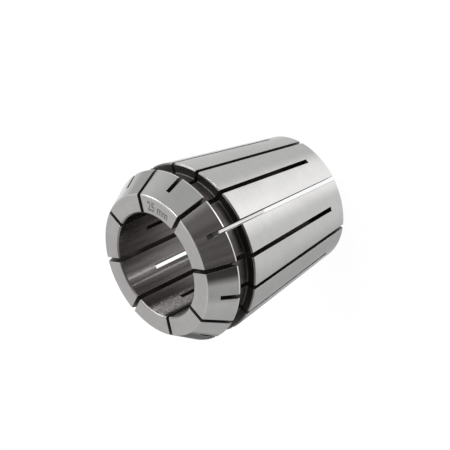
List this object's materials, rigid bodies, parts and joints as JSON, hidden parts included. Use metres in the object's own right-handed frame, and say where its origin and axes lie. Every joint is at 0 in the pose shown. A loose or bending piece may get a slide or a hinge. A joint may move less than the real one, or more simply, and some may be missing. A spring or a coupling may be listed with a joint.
{
  "type": "er collet",
  "caption": "Slit steel clamping collet with a long seat cone, a pull groove, a short nose cone and a straight bore for a round shank.",
  "frame": {"origin": "centre of the small rear end, on the plane that the collet stands on", "axes": "+Z along the bore axis towards the nose face; +X lies in the plane of one rear slit"},
  "size_m": [0.041, 0.041, 0.046],
  "materials": {
    "ground_steel": "hardened and ground spring steel, satin nose face, bright ground cones, dull slits and groove"
  },
  "bodies": {
    "root": {"collet": "ground_steel"}
  },
  "joints": []
}
